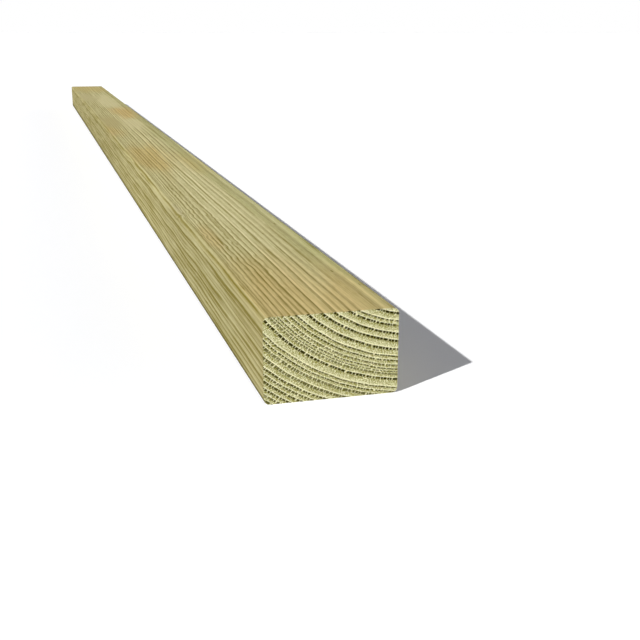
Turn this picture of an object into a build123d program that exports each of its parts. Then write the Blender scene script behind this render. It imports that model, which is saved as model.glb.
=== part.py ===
from build123d import *
import os

# A planed timber plank, lying on one of its wide faces. Sizes are in millimetres.
# +X runs along the grain and +Z is up. The origin is on the floor, under the plank's middle.

plank_length = 2000.0    # along the grain, from one sawn end to the other
plank_width = 70.0       # across the wide faces, which lie level
plank_thickness = 45.0   # across the narrow faces, which stand upright
arris_radius = 3.0       # round planed along all four long edges


def planed_section(saw_cut):
    # The planer's section, drawn on the plane of a saw cut: four flat faces, met by a quarter
    # round at each arris. It stands on the floor and is centred across the width.
    with BuildSketch(saw_cut) as section:
        Rectangle(plank_width, plank_thickness, align=(Align.CENTER, Align.MIN))
        fillet(section.vertices(), radius=arris_radius)
    return section.sketch


def sawn_plank():
    # The section runs straight from the far cut to the near one. The saw leaves both ends
    # square and sharp.
    far_cut = Plane.YZ.offset(-plank_length / 2)
    return extrude(planed_section(far_cut), amount=plank_length, dir=far_cut.z_dir)


os.makedirs("parts", exist_ok=True)
export_step(sawn_plank(), "parts/plank.step")
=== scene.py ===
import bpy
import bmesh
import math
from mathutils import Matrix, Vector


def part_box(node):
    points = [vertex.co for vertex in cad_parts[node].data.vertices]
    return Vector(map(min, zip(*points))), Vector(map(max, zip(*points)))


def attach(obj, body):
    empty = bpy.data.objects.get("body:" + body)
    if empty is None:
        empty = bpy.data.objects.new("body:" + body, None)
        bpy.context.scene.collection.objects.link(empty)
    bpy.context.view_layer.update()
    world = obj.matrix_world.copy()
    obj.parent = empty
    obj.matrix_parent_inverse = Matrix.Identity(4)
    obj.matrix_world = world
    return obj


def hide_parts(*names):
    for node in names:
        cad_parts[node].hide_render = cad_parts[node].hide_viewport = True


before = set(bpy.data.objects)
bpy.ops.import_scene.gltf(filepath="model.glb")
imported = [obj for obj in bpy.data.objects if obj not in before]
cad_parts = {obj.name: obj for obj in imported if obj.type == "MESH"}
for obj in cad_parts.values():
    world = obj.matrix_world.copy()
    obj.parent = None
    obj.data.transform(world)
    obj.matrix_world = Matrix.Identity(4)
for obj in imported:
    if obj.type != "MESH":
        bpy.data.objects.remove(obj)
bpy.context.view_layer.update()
plankLow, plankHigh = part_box("plank")
print("CAD plank loaded")

mm = 0.001
plankSize = (plankHigh - plankLow) / mm   # its length, width and thickness


# One socket, wrapped so that plain arithmetic adds Math nodes. It serves the shader and the
# Geometry Nodes relief alike, so both read the same growth rings.
class Link:
    def __init__(self, tree, socket=None):
        self.tree = tree
        self.socket = socket

    def node(self, kind, settings=None, inputs=None, output=0):
        made = self.tree.nodes.new(kind)
        for name, value in (settings or {}).items():
            if name == "points":
                plotCurve(made, value)
            else:
                setattr(made, name, value)
        for name, value in (inputs or {}).items():
            if isinstance(value, Link):
                self.tree.links.new(value.socket, made.inputs[name])
            else:
                made.inputs[name].default_value = value
        return None if output is None else Link(self.tree, made.outputs[output])

    def maths(self, operation, *values):
        return self.node("ShaderNodeMath", {"operation": operation}, dict(enumerate(values)))

    def __add__(self, other):
        return self.maths("ADD", self, other)

    def __radd__(self, other):
        return self.maths("ADD", other, self)

    def __sub__(self, other):
        return self.maths("SUBTRACT", self, other)

    def __rsub__(self, other):
        return self.maths("SUBTRACT", other, self)

    def __mul__(self, other):
        return self.maths("MULTIPLY", self, other)

    def __rmul__(self, other):
        return self.maths("MULTIPLY", other, self)

    def __truediv__(self, other):
        return self.maths("DIVIDE", self, other)

    def __rtruediv__(self, other):
        return self.maths("DIVIDE", other, self)

    def __neg__(self):
        return self.maths("MULTIPLY", self, -1.0)

    # 0 at the first value and 1 at the second, with an eased slope between.
    def ease(self, start, end):
        settings = {"interpolation_type": "SMOOTHSTEP"}
        inputs = {"Value": self, "From Min": start, "From Max": end}
        return self.node("ShaderNodeMapRange", settings, inputs)

    def square(self):
        return self.maths("MULTIPLY", self, self)

    def root(self):
        return self.maths("SQRT", self)

    def clipped(self):
        return self.node("ShaderNodeClamp", None, {"Value": self})

    def curve(self, value, points):
        return self.node("ShaderNodeFloatCurve", {"points": points}, {"Value": value})

    def vector(self, x, y, z):
        return self.node("ShaderNodeCombineXYZ", None, {0: x, 1: y, 2: z})

    # Soft noise from 0 to 1, about 0.5.
    def noise(self, x, y, z, detail=0.0, rough=0.5):
        inputs = {"Vector": self.vector(x, y, z), "Scale": 1.0, "Detail": detail, "Roughness": rough}
        return self.node("ShaderNodeTexNoise", {"noise_dimensions": "3D"}, inputs)

    # From the first colour to the second. Sockets 6 and 7 take the colours, and 2 gives the result.
    def mixed(self, share, first, second):
        return self.node("ShaderNodeMix", {"data_type": "RGBA"}, {0: share, 6: first, 7: second}, 2)


def plotCurve(node, points):
    curve = node.mapping.curves[0]
    while len(curve.points) < len(points):
        curve.points.new(0.5, 0.5)
    for point, place in zip(curve.points, points):
        point.location = place
        point.handle_type = "VECTOR"
    node.mapping.update()


# Camera
camera = {
    "place": (1451.15, -135.69, 179.14),  # mm, from the middle of the plank's bottom face
    "turn": 16.01,    # degrees to the right of the plank's length
    "tilt": 16.325,   # degrees below level
    "roll": 0.153,    # degrees
    "lens": 56.26,    # mm
    "frame": 36.0,    # mm wide
}


def makeCamera(name, view):
    turn, tilt, roll = (math.radians(view[k]) for k in ("turn", "tilt", "roll"))
    ahead = Vector((-math.cos(turn) * math.cos(tilt), math.sin(turn) * math.cos(tilt), -math.sin(tilt)))
    right = ahead.cross(Vector((0, 0, 1))).normalized()
    up = right.cross(ahead)
    rolledRight = math.cos(roll) * right + math.sin(roll) * up
    rolledUp = -math.sin(roll) * right + math.cos(roll) * up
    bpy.ops.object.camera_add(location=Vector(view["place"]) * mm)
    made = bpy.context.object
    made.name = name
    made.data.lens = view["lens"]
    made.data.sensor_width = view["frame"]
    made.rotation_mode = "QUATERNION"
    made.rotation_quaternion = Matrix((rolledRight, rolledUp, -ahead)).transposed().to_quaternion()
    bpy.context.scene.camera = made
    print("Camera placed")


makeCamera("plankCamera", camera)


# Growth rings, as the near end shows them. Heights are from the floor, and "across" is from the
# plank's left long face. Each year, from the inner corner outwards, has its width in mm, how dark
# its band is on the ends, the band's share of the year, and how dark its line is on the long faces.
growth = {
    "pithAcross": 82.6,    # mm
    "pithHeight": 96.7,    # mm
    "flatten": 1.12,       # the rings are wider than they are high
    "innerRadius": 57.4,   # mm, where the first year starts
    "arcRadius": 95.0,     # mm, the radius at which ways round the pith are measured
    "years": (
        (4.65, 0.9, 0.28, 0.3), (4.75, 1.0, 0.28, 0.45), (2.35, 0.9, 0.34, 0.35), (4.55, 1.0, 0.27, 0.6),
        (4.1, 1.0, 0.3, 1.0), (5.0, 1.0, 0.26, 0.6), (4.5, 1.0, 0.29, 1.0), (2.5, 0.9, 0.34, 0.7),
        (2.7, 0.85, 0.36, 0.65), (2.3, 0.7, 0.45, 0.75), (1.6, 0.85, 0.4, 0.2), (1.1, 0.8, 0.5, 0.75),
        (2.9, 0.7, 0.42, 0.3), (5.5, 1.0, 0.24, 0.6), (2.3, 0.85, 0.34, 1.0), (2.2, 0.9, 0.4, 0.15),
        (4.3, 0.8, 0.36, 0.15), (4.3, 0.8, 0.36, 0.85), (2.9, 0.9, 0.4, 0.75), (2.9, 0.8, 0.42, 0.1),
        (3.2, 0.9, 0.4, 0.85), (2.7, 0.9, 0.42, 0.15), (2.6, 0.85, 0.45, 0.8), (2.5, 0.85, 0.45, 0.15),
        (3.0, 0.8, 0.4, 0.7),
    ),
    "drift": 3.0,          # mm that the pith rises towards the far end
    # Waves of the rings along the plank, in mm: how high, how long and how wide.
    "swell": 1.5,          # slow ones
    "swellLength": 430.0,
    "swellWidth": 60.0,
    "ripple": 0.32,        # short ones
    "rippleLength": 75.0,
    "rippleWidth": 9.0,
    "plainEnd": (-20.0, 260.0),     # mm from the near end: there they start, and there they are full
    "sideRipple": 4.0,     # times their height that the left face adds to the short ones
    "sideDepth": (0.3, 2.5),        # mm into the plank from that face: all of it, and none
    # Curly grain in patches on the left half of the top.
    "curl": 0.9,           # mm
    "curlLength": 13.0,
    "curlWidth": 6.0,
    "curlAcross": (1.0, 8.0, 24.0, 34.0),       # mm from the left face: starts, full, full, ends
    "curlAlong": (40.0, 90.0, 320.0, 480.0),    # mm from the near end
    "patchLength": 50.0,   # mm
    "patchWidth": 9.0,
    "patchEdge": (-0.14, 0.04),     # of waves from -0.5 to 0.5: no patch, and a full one
    # A small knot by the left edge of the top, which the rings go round.
    "knotAlong": 282.0,    # mm from the near end
    "knotAcross": 2.0,
    "knotHeight": 45.0,
    "knotStretch": 0.4,    # its width, as a share of its length
    "knotReach": 6.0,      # mm, how far off the rings feel it
    "knotPull": 1.3,       # mm
}
yearWidths, bandDarks, bandShares, lineDarks = zip(*growth["years"])
# Where each year starts and the last one ends, in mm from the pith.
yearStarts = [growth["innerRadius"] + sum(yearWidths[:n]) for n in range(len(yearWidths) + 1)]


# 1 between the two middle places, and eased to 0 at the outer ones.
def within(value, places):
    return value.ease(*places[:2]) * (1.0 - value.ease(*places[2:]))


# Where a point lies in the log: its radius, the arc round the pith and the way from the near end,
# all in mm, then the year's number and how far through that year it is.
def growthField(link, point):
    x, y, z = (link.node("ShaderNodeSeparateXYZ", None, {0: point}, n) for n in range(3))
    along = (plankHigh.x - x) / mm
    side = (y - plankLow.y) / mm
    height = z / mm
    rise = along * (growth["drift"] / plankSize.x)
    offSide = side - growth["pithAcross"]
    offUp = (height - rise - growth["pithHeight"]) * growth["flatten"]
    bare = (offSide.square() + offUp.square()).root()
    arc = link.maths("ARCTAN2", offSide, -offUp) * growth["arcRadius"]

    def waves(length, width, start, detail=0.0):
        # From -0.5 to 0.5. The start only makes each set differ from the others.
        return link.noise(along / length, side / width, height / width + start, detail) - 0.5

    settled = along.ease(*growth["plainEnd"])
    lively = 1.0 + (1.0 - side.ease(*growth["sideDepth"])) * settled * growth["sideRipple"]
    slow = waves(growth["swellLength"], growth["swellWidth"], 3.0, 1.0)
    short = waves(growth["rippleLength"], growth["rippleWidth"], 7.0)
    radius = bare + slow * settled * (growth["swell"] * 2.0) + short * lively * (growth["ripple"] * 2.0)
    curl = waves(growth["curlLength"], growth["curlWidth"], 21.0)
    patch = waves(growth["patchLength"], growth["patchWidth"], 40.0).ease(*growth["patchEdge"])
    curly = within(side, growth["curlAcross"]) * within(along, growth["curlAlong"]) * patch
    radius = radius + curl * curly * (growth["curl"] * 2.0)
    knotAngle = math.atan2(growth["knotAcross"] - growth["pithAcross"],
                           (growth["pithHeight"] - growth["knotHeight"]) * growth["flatten"])
    knotAhead = (along - growth["knotAlong"]) * growth["knotStretch"]
    knotAside = arc - knotAngle * growth["arcRadius"]
    knotAway = (knotAhead.square() + knotAside.square()).root()
    radius = radius + (1.0 - knotAway.ease(0.0, growth["knotReach"])) * growth["knotPull"]
    count = len(yearWidths)
    first, reach = yearStarts[0], yearStarts[-1] - yearStarts[0]
    grown = [((start - first) / reach, n / count) for n, start in enumerate(yearStarts)]
    age = link.curve((radius - first) / reach, grown) * count
    year = link.maths("FLOOR", age)
    return {"x": x, "along": along, "side": side, "height": height, "radius": radius, "arc": arc,
            "year": year, "through": age - year, "knotAway": knotAway}


# A value that each year has of its own, looked up at the point's year.
def perYear(link, field, values):
    count = len(values)
    points = [((n + 0.5) / count, value) for n, value in enumerate(values)]
    return link.curve((field["year"] + 0.5) / count, points)


# Plank mesh: a bevelled bar, cut fine enough to carry the relief of its rings.
plank = {
    "arris": 3.0,           # mm, radius of the long edges
    "arrisCuts": 6,
    "wideCells": 106,       # across the flat of a wide face
    "narrowCells": 64,      # across the flat of a narrow face
    "lengthCells": 216,
    "relief": 0.09,         # mm, how far the soft wood lies below the hard bands
    "endRelief": 0.12,      # mm
    "bandEdge": (0.35, 1.25),       # of a band's share of its year: proud up to here, and gone there
    "endLayer": (0.2, 0.3), # mm from an end: still the end's finish, and the long faces'
    "merge": 1e-6,          # metres, points closer than this are one
    "sharp": 50.0,          # degrees between faces from which an edge stays sharp
}


def cutPlaces(low, high, cells):
    # Cuts across one side of the section: even ones on the flat, and one through each corner of
    # the bevelled arris.
    arris = plank["arris"] * mm
    flatLow, flatHigh = low + arris, high - arris
    places = [flatLow + (flatHigh - flatLow) * n / cells for n in range(cells + 1)]
    for n in range(1, plank["arrisCuts"]):
        inset = arris * (1 - math.sin(math.radians(90.0 * n / plank["arrisCuts"])))
        places += [low + inset, high - inset]
    return sorted(places)


# The edges that run along the plank are the only ones over half its length.
def selectLengthwise(thing):
    bpy.ops.mesh.select_all(action="DESELECT")
    cage = bmesh.from_edit_mesh(thing.data)
    for edge in cage.edges:
        run = edge.verts[1].co - edge.verts[0].co
        edge.select_set(abs(run.x) > 0.5 * (plankHigh.x - plankLow.x))
    bmesh.update_edit_mesh(thing.data)


def makePlank(name):
    bpy.ops.object.select_all(action="DESELECT")
    bpy.ops.mesh.primitive_cube_add(size=1.0, location=(plankHigh + plankLow) / 2)
    made = bpy.context.object
    made.name = name
    made.scale = plankHigh - plankLow
    bpy.ops.object.transform_apply(location=True, rotation=True, scale=True)
    bpy.ops.object.mode_set(mode="EDIT")
    bpy.ops.mesh.select_mode(type="EDGE")
    selectLengthwise(made)
    bpy.ops.mesh.bevel(offset=plank["arris"] * mm, offset_type="OFFSET", segments=plank["arrisCuts"])
    for axis, low, high, cells in ((1, plankLow.y, plankHigh.y, plank["wideCells"]),
                                   (2, plankLow.z, plankHigh.z, plank["narrowCells"])):
        normal = [float(n == axis) for n in range(3)]
        for place in cutPlaces(low, high, cells):
            bpy.ops.mesh.select_all(action="SELECT")
            bpy.ops.mesh.bisect(plane_co=[place * n for n in normal], plane_no=normal,
                                threshold=plank["merge"])
    selectLengthwise(made)
    bpy.ops.mesh.subdivide(number_cuts=plank["lengthCells"] - 1)
    bpy.ops.mesh.select_all(action="SELECT")
    bpy.ops.mesh.remove_doubles(threshold=plank["merge"])
    bpy.ops.mesh.normals_make_consistent(inside=False)
    bpy.ops.object.mode_set(mode="OBJECT")
    print("Plank cut:", len(made.data.polygons), "faces")
    return made


# The map for the plank's finish: its long faces unrolled side by side, cut along the middle of
# the bottom, and its two ends beside them.
unrolled = {
    "long": (0.004, 0.686),             # share of the map's width
    "ends": (0.702, 0.996),
    "heights": (0.004, 0.996),
    "nearHeights": (0.508, 0.996),      # share of the map's height
    "farHeights": (0.004, 0.492),
}


def unrollPlank(thing):
    mesh = thing.data
    arris = plank["arris"]
    halfFlat, upFlat = plankSize.y / 2 - arris, plankSize.z - 2 * arris
    bend = arris * math.pi / 2
    around = 4 * halfFlat + 2 * upFlat + 4 * bend

    def wayRound(y, z, faceY):
        # From the middle of the bottom, round by the right face, the top and the left face.
        right = abs(y) if faceY > 0 else -abs(y)
        over, up = abs(y) - halfFlat, z - arris
        if z < arris and over <= 0:
            way = abs(y)
        elif z < arris:
            way = halfFlat + arris * math.atan2(over, arris - z)
        elif z <= plankSize.z - arris:
            way = halfFlat + bend + up
        elif over > 0:
            way = halfFlat + bend + upFlat + arris * math.atan2(z - plankSize.z + arris, over)
        else:
            way = halfFlat + 2 * bend + upFlat + halfFlat - abs(y)
        return way if right > 0 or (right == 0 and faceY > 0) else around - way

    def spread(share, limits):
        return limits[0] + share * (limits[1] - limits[0])

    chart = mesh.uv_layers.new(name="OFBake")
    for face in mesh.polygons:
        atEnd = abs(face.normal.x) > 0.5
        for loop in face.loop_indices:
            x, y, z = mesh.vertices[mesh.loops[loop].vertex_index].co / mm
            if atEnd:
                heights = unrolled["nearHeights"] if x > 0 else unrolled["farHeights"]
                place = (spread(z / plankSize.z, unrolled["ends"]), spread(y / plankSize.y + 0.5, heights))
            else:
                way = wayRound(y, z, face.center.y)
                place = (spread(way / around, unrolled["long"]),
                         spread(x / plankSize.x + 0.5, unrolled["heights"]))
            chart.data[loop].uv = place
    print("Plank unrolled")


# Relief: the planer and the weather leave the hard bands a little proud of the soft wood.
def carveRelief(thing):
    tree = bpy.data.node_groups.new("grainRelief", "GeometryNodeTree")
    tree.interface.new_socket("Geometry", in_out="INPUT", socket_type="NodeSocketGeometry")
    tree.interface.new_socket("Geometry", in_out="OUTPUT", socket_type="NodeSocketGeometry")
    link = Link(tree)
    field = growthField(link, link.node("GeometryNodeInputPosition"))
    normal = link.node("GeometryNodeInputNormal")
    band = bandOf(link, field)
    atEnd = endMask(link, field)
    depth = (plank["relief"] + atEnd * (plank["endRelief"] - plank["relief"])) * (1.0 - band) * mm
    offset = link.node("ShaderNodeVectorMath", {"operation": "SCALE"}, {0: normal, "Scale": -depth})
    entry = link.node("NodeGroupInput")
    moved = link.node("GeometryNodeSetPosition", None, {"Geometry": entry, "Offset": offset})
    link.node("NodeGroupOutput", None, {0: moved}, None)
    carved = thing.modifiers.new("grainRelief", "NODES")
    carved.node_group = tree
    bpy.ops.object.modifier_apply(modifier=carved.name)
    bpy.ops.object.shade_smooth_by_angle(angle=math.radians(plank["sharp"]))
    print("Relief carved")


# How proud each point stands: hard bands start sharply and fade outwards.
def bandOf(link, field):
    share = perYear(link, field, bandShares)
    fade = 1.0 - (field["through"] / share).ease(*plank["bandEdge"])
    return fade * perYear(link, field, bandDarks)


def endMask(link, field):
    fromEnd = ((plankHigh.x - plankLow.x) / 2 - link.maths("ABSOLUTE", field["x"])) / mm
    return 1.0 - fromEnd.ease(*plank["endLayer"])


# Finish of the long faces, in pressure-treated softwood. Colours are as they look on a screen, 0 to
# 255. Lengths are in mm, and a pair of them is where a change starts and where it is complete.
longFaces = {
    "pale": (214, 206, 157),      # soft wood
    "dark": (121, 109, 30),       # hard bands
    # How far each of these takes the wood on the way from pale to dark.
    "ground": 0.3,                # all soft wood
    "line": 0.74,                 # the line that a hard band draws
    "tail": 0.16,                 # the wood outside that line
    "paleEdge": 0.18,             # the other way, just before the next line
    "second": 0.36,               # a thin line inside each wide year
    "fine": 0.75,                 # fine long streaks, both ways
    "fleck": 0.55,                # fine short ones, both ways
    "lens": 0.18,                 # dark slivers
    "edges": 0.14,                # the wide faces, away from their middle
    "sides": 0.135,               # the narrow faces
    "cloud": 0.7,                 # clouds on the narrow faces, both ways
    "paintedEdgeShade": 0.55,                 # painted shade at the left face's lower edge, by the floor
    "eye": 0.5,                   # the knot's middle
    "mark": 0.45,                 # each dark mark of the list below
    "older": 0.1,                 # the far part
    "newer": 0.08,                # the other way, by the near end
    # A line starts sharply at its year's inner edge.
    "lineWidth": 0.6,
    "darkWider": 0.7,             # mm more in the darkest years
    "sideWider": 1.3,             # mm more on the narrow faces
    "innerEdge": (0.05, 0.45),    # before its year starts: full, and gone
    "sideInner": 0.6,             # mm more on the narrow faces
    "faintLine": 0.15,            # what is left of it in the palest years
    "fadedLine": 0.45,            # and where it fades on its way
    "fadeSize": (60.0, 12.0),     # along the plank, and round the pith
    "fadeEdge": (0.3, 0.62),      # of a noise from 0 to 1: faded, and full
    "lineStrength": 1.14,         # and less by each of the next four
    "edgesWeaker": 0.38,          # on the wide faces, away from their middle
    "rightWeaker": 0.35,          # on their right
    "sidesWeaker": 0.1,           # on the narrow faces
    "farWeaker": 0.3,             # on the far half
    "tailEnd": 0.55,              # of a year
    "paleFrom": (0.3, 0.6),       # before the next year
    "paleTo": (0.8, 1.6),
    "sidePale": 0.7,              # the narrow faces have this much less of it
    "wideYear": 3.6,
    "secondAt": 0.55,             # of a year
    "secondWidth": (0.1, 0.6),    # from its middle
    "secondSize": (90.0, 18.0),   # it fades too
    "secondEdge": (0.3, 0.55),
    "sideFine": 0.35,             # less of the fine streaks on the narrow faces
    "sideFleck": 0.25,
    # Sizes of the streaks along the plank, outwards in the log and round the pith.
    "fineSize": (150.0, 0.8, 1.1),
    "fleckSize": (9.0, 0.7, 0.9),
    "lensSize": (60.0, 1.3, 1.8),
    "lensEdge": (0.58, 0.72),     # of a noise from 0 to 1: none, and a full one
    "cloudSize": (110.0, 30.0, 11.0),    # these are along the plank, across and up
    # Places.
    "middle": (5.0, 20.0),        # from the middle of a wide face
    "right": (44.0, 60.0),        # from the left face
    "far": (900.0, 1600.0),       # from the near end, as are the next three
    "olderAlong": (500.0, 1200.0),
    "newerAlong": (20.0, 120.0),
    "dryAlong": (300.0, 480.0, 620.0, 900.0),   # a paler stretch of the narrow faces
    "leftHalf": (30.0, 40.0),     # from the left face
    "edgeHeights": (2.0, 4.8),    # of the left face's lower edge
    "edgeSpread": 0.003,          # and so much higher for each mm along
    "eyeRadius": (0.5, 1.4),
    "sideShade": 0.81,            # painted shade: what the narrow faces keep of their brightness
    "edgeShade": 0.43,            # less than that at the left face's lower edge, as painted shade
    "dryShade": 0.07,             # more than that on the paler stretch
    # Stains on the top: way from the near end, way from the middle to the right, length, width, all
    # in mm, then the colour, how strong it is and how far it veils the grain.
    "stains": (
        (-10.0, 6.0, 250.0, 130.0, (209, 184, 122), 0.75, 0.0),
        (104.0, -22.0, 90.0, 32.0, (196, 172, 106), 0.45, 0.1),
        (200.0, -26.0, 90.0, 12.0, (206, 178, 112), 0.5, 0.0),
        (305.0, -34.0, 64.0, 9.0, (190, 180, 144), 0.7, 0.6),
        (400.0, 4.0, 560.0, 26.0, (224, 216, 172), 0.5, 0.2),
        (575.0, 28.0, 180.0, 34.0, (206, 180, 108), 0.55, 0.2),
        (640.0, -14.0, 260.0, 46.0, (204, 178, 108), 0.75, 0.1),
        (900.0, 30.0, 2100.0, 24.0, (190, 190, 136), 0.45, 0.15),
        (900.0, -34.0, 60.0, 12.0, (194, 178, 140), 0.7, 0.8),
        (930.0, -38.0, 150.0, 50.0, (200, 172, 100), 0.6, 0.2),
        (1040.0, 8.0, 240.0, 34.0, (196, 186, 138), 0.9, 0.85),
        (1060.0, -22.0, 200.0, 34.0, (171, 158, 106), 0.95, 0.8),
        (1240.0, 14.0, 230.0, 40.0, (202, 172, 108), 0.8, 0.5),
        (1500.0, 8.0, 380.0, 40.0, (192, 183, 135), 0.9, 0.9),
        (1620.0, -24.0, 220.0, 40.0, (173, 162, 114), 0.9, 0.9),
        (1900.0, 0.0, 260.0, 90.0, (186, 168, 104), 0.8, 0.6),
        (150.0, 34.0, 260.0, 12.0, (188, 186, 118), 0.4, 0.2),
    ),
    "stainEdge": (0.4, 1.4),      # of the way from a stain's middle to its limits: full, and gone
    "stainWander": 0.9,           # how unevenly that edge runs
    "wanderSize": (90.0, 14.0),
    "sideClean": 0.75,            # the narrow faces get this much less
    "stainedBand": (0.56, 0.54, 0.22),   # a stain's red, green and blue over a hard band
    # Dark marks on the top: way from the near end, way from the middle to the right, length, width.
    "marks": (
        (61.5, -32.4, 24.0, 1.4), (83.0, 24.6, 6.0, 1.6), (104.0, -10.4, 16.0, 0.9),
        (180.0, -22.0, 34.0, 1.3), (199.0, 10.6, 5.0, 1.6), (160.0, -21.5, 18.0, 0.9),
        (232.0, 26.6, 9.0, 1.5), (50.0, 30.4, 7.0, 1.2), (290.0, -30.0, 12.0, 1.4),
        (318.0, -31.0, 26.0, 1.0), (412.0, -22.0, 40.0, 1.4), (455.0, 3.0, 60.0, 1.2),
    ),
    "markEdge": (0.2, 1.0),       # of the squared way to its limits: full, and gone
}


def paint(colour):
    # From screen values to the light that a surface sends back.
    def spread(value):
        value = value / 255.0
        return value / 12.92 if value <= 0.04045 else ((value + 0.055) / 1.055) ** 2.4
    return (*(spread(value) for value in colour), 1.0)


def darker(colour, veil):
    # The same stain over a hard band.
    deep = [part * share for part, share in zip(colour, longFaces["stainedBand"])]
    return [thin + (thick - thin) * veil for thin, thick in zip(deep, colour)]


def newMaterial(name):
    made = bpy.data.materials.new(name)
    made.use_nodes = True
    made.node_tree.nodes.clear()
    return made, Link(made.node_tree)


# Painted shade: a darker line along the left face's lower edge, by the floor, broader towards the far end.
def paintedLowerShade(field):
    low, high = longFaces["edgeHeights"]
    left = 1.0 - field["side"].ease(*longFaces["leftHalf"])
    return (1.0 - field["height"].ease(low, high + field["along"] * longFaces["edgeSpread"])) * left


# 0 in the middle of a spot on the top and 1 at the limits of its length and width. The way to it
# goes on over the top's edges and down the narrow faces.
def spotAway(link, field, way, off, length, width):
    right = off + plankSize.y / 2
    below = plankSize.z - field["height"]
    ahead = (field["along"] - way) * (2.0 / length)
    aside = (link.maths("ABSOLUTE", field["side"] - right) + below) * (2.0 / width)
    return ahead.square() + aside.square()


# 1 towards both edges of a wide face.
def nearEdges(link, field, onSide):
    fromMiddle = link.maths("ABSOLUTE", field["side"] - plankSize.y / 2)
    return fromMiddle.ease(*longFaces["middle"]) * (1.0 - onSide)


# The lines that the rings draw.
def ringTone(link, field, onSide):
    along, arc, year = field["along"], field["arc"], field["year"]
    width = perYear(link, field, yearWidths)
    dark = perYear(link, field, lineDarks)
    sinceStart = field["through"] * width
    toEnd = width - sinceStart
    reach = longFaces["lineWidth"] + dark * longFaces["darkWider"] + onSide * longFaces["sideWider"]
    outer = 1.0 - (sinceStart / reach).ease(0.0, 1.0)
    full, none = longFaces["innerEdge"]
    inner = 1.0 - toEnd.ease(full, none + onSide * longFaces["sideInner"])

    def comeAndGo(size, apart, detail, edge):
        # Each year's line has its own pattern along its way.
        return link.noise(along / size[0], year * apart, arc / size[1], detail).ease(*edge)

    faint, faded = longFaces["faintLine"], longFaces["fadedLine"]
    fading = comeAndGo(longFaces["fadeSize"], 5.3, 3.0, longFaces["fadeEdge"])
    line = link.maths("MAXIMUM", outer, inner)
    line = line * (faint + dark * (1.0 - faint)) * (faded + fading * (1.0 - faded))
    toRight = field["side"].ease(*longFaces["right"]) * (1.0 - onSide)
    weaker = (nearEdges(link, field, onSide) * longFaces["edgesWeaker"] + toRight * longFaces["rightWeaker"]
              + onSide * longFaces["sidesWeaker"] + along.ease(*longFaces["far"]) * longFaces["farWeaker"])
    line = line * (longFaces["lineStrength"] - weaker)
    tail = 1.0 - field["through"].ease(0.0, longFaces["tailEnd"])
    pale = toEnd.ease(*longFaces["paleFrom"]) * (1.0 - toEnd.ease(*longFaces["paleTo"]))
    pale = pale * (1.0 - onSide * longFaces["sidePale"])
    wide = [float(each > longFaces["wideYear"]) for each in yearWidths]
    away = link.maths("ABSOLUTE", field["through"] - longFaces["secondAt"]) * width
    second = (1.0 - away.ease(*longFaces["secondWidth"])) * perYear(link, field, wide)
    second = second * comeAndGo(longFaces["secondSize"], 3.7, 1.0, longFaces["secondEdge"])
    return (line * longFaces["line"] + tail * longFaces["tail"] - pale * longFaces["paleEdge"]
            + second * longFaces["second"])


# The fine streaks between them.
def grainTone(link, field, onSide):
    def streaks(sizes, detail, start=0.0):
        ways = [field[name] / size for name, size in zip(("along", "radius", "arc"), sizes)]
        return link.noise(ways[0], ways[1], ways[2] + start, detail)

    fine = streaks(longFaces["fineSize"], 2.0) - 0.5
    fleck = streaks(longFaces["fleckSize"], 2.0) - 0.5
    lens = streaks(longFaces["lensSize"], 1.0, 30.0).ease(*longFaces["lensEdge"])
    return (fine * (longFaces["fine"] - onSide * longFaces["sideFine"])
            + fleck * (longFaces["fleck"] - onSide * longFaces["sideFleck"]) + lens * longFaces["lens"])


# Broad shades, painted shade at the left face's lower edge, the knot's eye and the marks.
def shadeTone(link, field, onSide):
    along = field["along"]
    length, width, rise = longFaces["cloudSize"]
    cloud = link.noise(along / length, field["side"] / width, field["height"] / rise + 17.0, 1.0) - 0.5
    across = (nearEdges(link, field, onSide) * longFaces["edges"]
              + onSide * (longFaces["sides"] + cloud * longFaces["cloud"]))
    # Painted shade along the left face's lower edge, by the floor.
    paintedEdgeShade = paintedLowerShade(field) * onSide * longFaces["paintedEdgeShade"]
    spots = (1.0 - field["knotAway"].ease(*longFaces["eyeRadius"])) * longFaces["eye"]
    for mark in longFaces["marks"]:
        spots = spots + (1.0 - spotAway(link, field, *mark).ease(*longFaces["markEdge"])) * longFaces["mark"]
    ageing = (along.ease(*longFaces["olderAlong"]) * longFaces["older"]
              - (1.0 - along.ease(*longFaces["newerAlong"])) * longFaces["newer"])
    return across + paintedEdgeShade + spots + ageing


def longFaceColour(link, field, onSide):
    tone = (longFaces["ground"] + ringTone(link, field, onSide) + grainTone(link, field, onSide)
            + shadeTone(link, field, onSide)).clipped()
    colour = link.mixed(tone, paint(longFaces["pale"]), paint(longFaces["dark"]))
    length, width = longFaces["wanderSize"]
    for *spot, stain, strength, veil in longFaces["stains"]:
        wander = link.noise(field["along"] / length, field["side"] / width, spot[0]) - 0.5
        away = spotAway(link, field, *spot).root() + wander * longFaces["stainWander"]
        share = (1.0 - away.ease(*longFaces["stainEdge"])) * strength
        share = share * (1.0 - onSide * longFaces["sideClean"])
        stained = link.mixed(tone, paint(stain), paint(darker(stain, veil)))
        colour = link.mixed(share, colour, stained)
    dry = within(field["along"], longFaces["dryAlong"])
    # Painted shade: the narrow faces are darkened towards black, the left face's lower edge more, the paler
    # stretch less.
    shade = onSide * (1.0 - longFaces["sideShade"] + paintedLowerShade(field) * longFaces["edgeShade"]
                      - dry * longFaces["dryShade"])
    return link.mixed(shade, colour, (0.0, 0.0, 0.0, 1.0))


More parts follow.
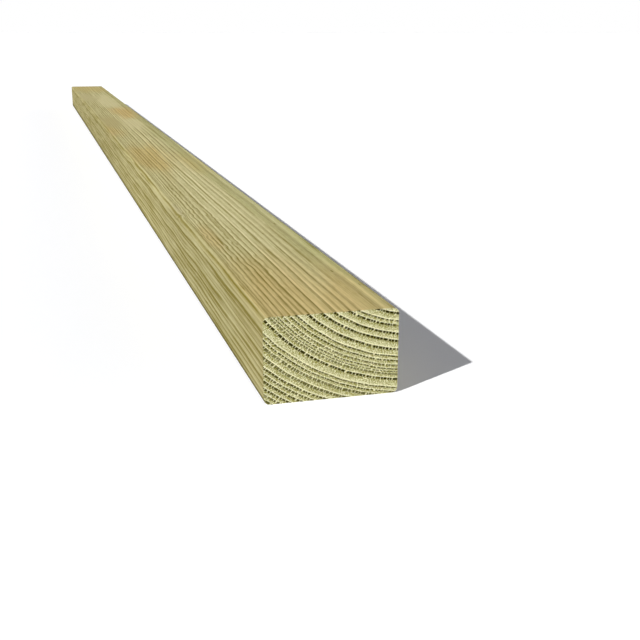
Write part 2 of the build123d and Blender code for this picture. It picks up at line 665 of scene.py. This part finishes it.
# Finish of the sawn ends, where rays across the rings break the hard bands into dashes.
sawnEnds = {
    "pale": (241, 238, 196),      # soft wood
    "grey": (141, 137, 60),       # where it is soiled
    "olive": (120, 114, 45),      # a thin or half strong hard band
    "dark": (44, 40, 0),          # a strong one
    "depth": 400.0,               # mm along the plank over which the pattern changes
    "dashLength": 1.9,            # mm
    "dashShift": 2.0,             # dashes that they are out of step, at most
    "shiftSize": 3.0,             # mm round the pith
    "dashEnd": (0.66, 0.86),      # of half a dash: full up to here, and gone from there
    "gap": 0.06,                  # what is left of a band between two dashes
    "worn": 0.75,                 # and in its worn patches
    "wornSize": 6.0,              # mm round the pith
    "wornEdge": (0.25, 0.5),      # of a noise from 0 to 1: worn, and whole
    "strength": 1.04,             # of the bands
    "outerWeaker": 0.07,          # and less for the outer years
    "outerRadius": (85.0, 110.0), # mm
    "bandEnd": (0.9, 1.25),       # of a band's share: full up to here, and gone from there
    "hazeEnd": (0.5, 3.0),        # the same for the haze outside it
    "hazeRays": 3.0,              # how strongly the rays show in it
    "lastPart": (0.82, 0.9),      # of a year, where its paler last part starts
    # How far each of these takes the soft wood on the way from pale to grey.
    "ground": 0.52,
    "haze": 0.85,
    "underBand": 0.45,            # the other way
    "rays": 1.5,
    "speckle": 3.4,
    "blotch": 0.6,
    "last": 0.5,                  # the other way
    # Sizes of the patches in mm, round the pith and outwards.
    "raySize": (0.55, 1.5),
    "speckleSize": (0.5, 0.5),
    "blotchSize": (8.0, 4.0),
}


def endColour(link, field):
    arc, radius, year = field["arc"], field["radius"], field["year"]
    depth = field["along"] / sawnEnds["depth"]
    dark = perYear(link, field, bandDarks)
    rims = [start / growth["arcRadius"] for start in yearStarts[:-1]]
    roundRing = arc * perYear(link, field, rims)   # mm round the year's own ring

    def patches(way, size, start):
        return link.noise(way / size[0], radius / size[1], depth + start, 1.0) - 0.5

    rays = patches(roundRing, sawnEnds["raySize"], 0.0)
    speckle = patches(roundRing, sawnEnds["speckleSize"], 5.0)
    blotch = patches(arc, sawnEnds["blotchSize"], 9.0)
    jitter = link.noise(roundRing / sawnEnds["shiftSize"], year * 5.1, depth, 1.0) * sawnEnds["dashShift"]
    pulse = link.maths("FRACT", roundRing / sawnEnds["dashLength"] + jitter + year * 0.37)
    dash = 1.0 - (link.maths("ABSOLUTE", pulse - 0.5) * 2.0).ease(*sawnEnds["dashEnd"])
    whole = link.noise(arc / sawnEnds["wornSize"], year * 3.1, depth, 1.0).ease(*sawnEnds["wornEdge"])
    part = field["through"] / perYear(link, field, bandShares)
    hard = 1.0 - part.ease(*sawnEnds["bandEnd"])
    gap, worn = sawnEnds["gap"], sawnEnds["worn"]
    core = hard * (gap + dash * (1.0 - gap)) * (worn + whole * (1.0 - worn))
    haze = (1.0 - part.ease(*sawnEnds["hazeEnd"])) * (0.5 + rays * sawnEnds["hazeRays"])
    last = field["through"].ease(*sawnEnds["lastPart"])
    grey = haze * dark * sawnEnds["haze"] - hard * sawnEnds["underBand"] + sawnEnds["ground"]
    grey = grey + rays * sawnEnds["rays"] + speckle * sawnEnds["speckle"] + blotch * sawnEnds["blotch"]
    grey = (grey - last * sawnEnds["last"]).clipped()
    ground = link.mixed(grey, paint(sawnEnds["pale"]), paint(sawnEnds["grey"]))
    strength = sawnEnds["strength"] - radius.ease(*sawnEnds["outerRadius"]) * sawnEnds["outerWeaker"]
    mark = (core * dark * strength).clipped()
    olive = link.mixed(mark, ground, paint(sawnEnds["olive"]))
    return link.mixed(mark.square(), olive, paint(sawnEnds["dark"]))


# The whole plank's surface.
surface = {
    "sideStart": (0.3, 0.9),      # of the arris, from a narrow face inwards: its finish, and a wide face's
    "fibreLength": 9.0,           # mm
    "fibreWidth": 0.22,           # mm
    "fibreHeight": 0.1,           # mm
    "fibreStrength": 0.25,
    "rough": 0.72,
    "bandSmoother": 0.12,         # the hard bands are less rough
    "gloss": 0.1,
}


def finishPlank(thing):
    material, link = newMaterial("treatedSoftwood")
    field = growthField(link, link.node("ShaderNodeTexCoord", None, None, "Object"))
    along, side, height = field["along"], field["side"], field["height"]
    atEnd = endMask(link, field)
    start, stop = (share * plank["arris"] for share in surface["sideStart"])
    onSide = 1.0 - link.maths("MINIMUM", side, plankSize.y - side).ease(start, stop)
    colour = link.mixed(atEnd, longFaceColour(link, field, onSide), endColour(link, field))
    width = surface["fibreWidth"]
    fibre = link.noise(along / surface["fibreLength"], side / width, height / width, 2.0) * (1.0 - atEnd)
    bump = link.node("ShaderNodeBump", None, {
        "Strength": surface["fibreStrength"], "Distance": surface["fibreHeight"] * mm, "Height": fibre})
    rough = surface["rough"] - bandOf(link, field) * surface["bandSmoother"]
    shader = link.node("ShaderNodeBsdfPrincipled", None, {
        "Base Color": colour, "Roughness": rough, "Normal": bump, "Specular IOR Level": surface["gloss"]})
    link.node("ShaderNodeOutputMaterial", None, {"Surface": shader}, None)
    thing.data.materials.clear()
    thing.data.materials.append(material)
    print("Plank finished")


timber = makePlank("timber")
unrollPlank(timber)
carveRelief(timber)
finishPlank(timber)
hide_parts("plank")
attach(timber, "root")


# Studio: a white floor, a key lamp and a sky that is brightest low down on the right.
studio = {
    "floorSize": 60.0,               # metres
    "floorGrey": 0.2,                # what the floor sends back to the plank
    "floorGlow": (0.096, 0.101, 0.12, 1.0),
    "lampFrom": (0.433, -0.738, 0.56),
    "lampStrength": 4.62,
    "lampAngle": 1.0,                # degrees
    "lampAway": 3.0,                 # metres
    "sky": 1.6,
    "skyFade": (0.1, 0.5),           # its light goes between these heights, of a height of 1 overhead
}


# True for what the camera sees straight, in a reflection or through glass.
def seenRay(link):
    rays = [link.node("ShaderNodeLightPath", None, None, name)
            for name in ("Is Camera Ray", "Is Glossy Ray", "Is Transmission Ray")]
    return link.maths("MAXIMUM", link.maths("MAXIMUM", rays[0], rays[1]), rays[2])


def makeFloor():
    bpy.ops.object.select_all(action="DESELECT")
    bpy.ops.mesh.primitive_plane_add(size=studio["floorSize"], location=(0, 0, 0))
    made = bpy.context.object
    made.name = "floor"
    material, link = newMaterial("whiteFloor")
    white = (1.0, 1.0, 1.0, 1.0)
    grey = (studio["floorGrey"],) * 3 + (1.0,)
    plain = link.node("ShaderNodeBsdfDiffuse", None, {"Color": grey})
    bright = link.node("ShaderNodeBsdfDiffuse", None, {"Color": white})
    glow = link.node("ShaderNodeEmission", None, {"Color": studio["floorGlow"], "Strength": 1.0})
    bright = link.node("ShaderNodeAddShader", None, {0: bright, 1: glow})
    mixed = link.node("ShaderNodeMixShader", None, {0: seenRay(link), 1: plain, 2: bright})
    link.node("ShaderNodeOutputMaterial", None, {"Surface": mixed}, None)
    made.data.materials.append(material)


def makeLight():
    towards = Vector(studio["lampFrom"]).normalized()
    bpy.ops.object.light_add(type="SUN", location=towards * studio["lampAway"])
    lamp = bpy.context.object
    lamp.name = "keyLamp"
    lamp.rotation_mode = "QUATERNION"
    lamp.rotation_quaternion = towards.to_track_quat("Z", "Y")
    lamp.data.energy = studio["lampStrength"]
    lamp.data.angle = math.radians(studio["lampAngle"])
    world = bpy.data.worlds.new("paleStudio")
    world.use_nodes = True
    world.node_tree.nodes.clear()
    bpy.context.scene.world = world
    link = Link(world.node_tree)
    way = link.node("ShaderNodeTexCoord", None, None, "Generated")
    y = link.node("ShaderNodeSeparateXYZ", None, {0: way}, 1)
    z = link.node("ShaderNodeSeparateXYZ", None, {0: way}, 2)
    low = 1.0 - z.ease(*studio["skyFade"])
    light = low * (1.0 + y) * studio["sky"]
    sky = link.node("ShaderNodeBackground", None, {"Color": light, "Strength": 1.0})
    white = link.node("ShaderNodeBackground", None, {"Color": (1.0, 1.0, 1.0, 1.0), "Strength": 1.0})
    mixed = link.node("ShaderNodeMixShader", None, {0: seenRay(link), 1: sky, 2: white})
    link.node("ShaderNodeOutputWorld", None, {"Surface": mixed}, None)
    print("Studio lit")


makeFloor()
makeLight()
bpy.context.scene.view_settings.view_transform = "Standard"
